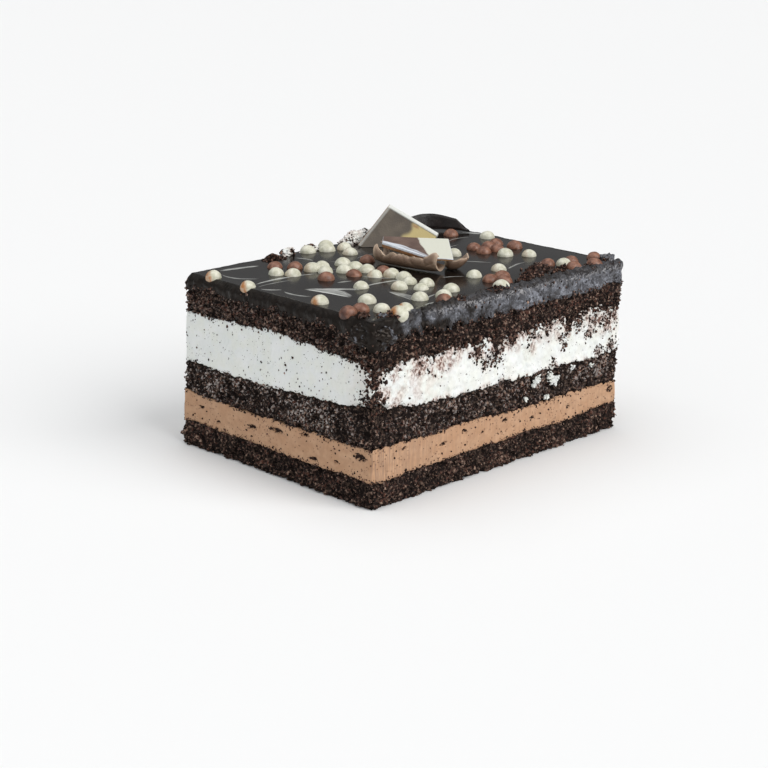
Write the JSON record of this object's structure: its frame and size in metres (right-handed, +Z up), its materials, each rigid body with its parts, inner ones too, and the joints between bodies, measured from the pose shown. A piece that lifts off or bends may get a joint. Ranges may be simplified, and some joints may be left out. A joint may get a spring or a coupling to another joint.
{
  "type": "tuxedo cake",
  "caption": "Rectangular block of layered chocolate and cream cake with a dark glazed top, sugar pearls and broken chocolate pieces.",
  "frame": {"origin": "middle of the flat base, on the surface the cake stands on", "axes": "+X along the length, +Y across the width to the back that leans in, +Z up"},
  "size_m": [0.0994, 0.0752, 0.0584],
  "materials": {
    "dark_sponge": "open crumb, matte",
    "mocha_cream": "knife-cut mousse, matte",
    "white_cream": "knife-cut cream, soft sheen",
    "glaze": "glossy chocolate glaze",
    "ivory_chocolate": "satin",
    "milk_chocolate": "satin",
    "dark_chocolate": "satin"
  },
  "bodies": {
    "root": {"bottom_sponge": "dark_sponge", "mocha_cream": "mocha_cream", "middle_sponge": "dark_sponge", "white_cream": "white_cream", "top_sponge": "dark_sponge", "glaze": "glaze", "chocolate_plaque": "ivory_chocolate", "milk_curl": "milk_chocolate", "milk_curl_tail": "milk_chocolate", "marbled_shard": "milk_chocolate", "dark_petal": "dark_chocolate"}
  },
  "joints": []
}
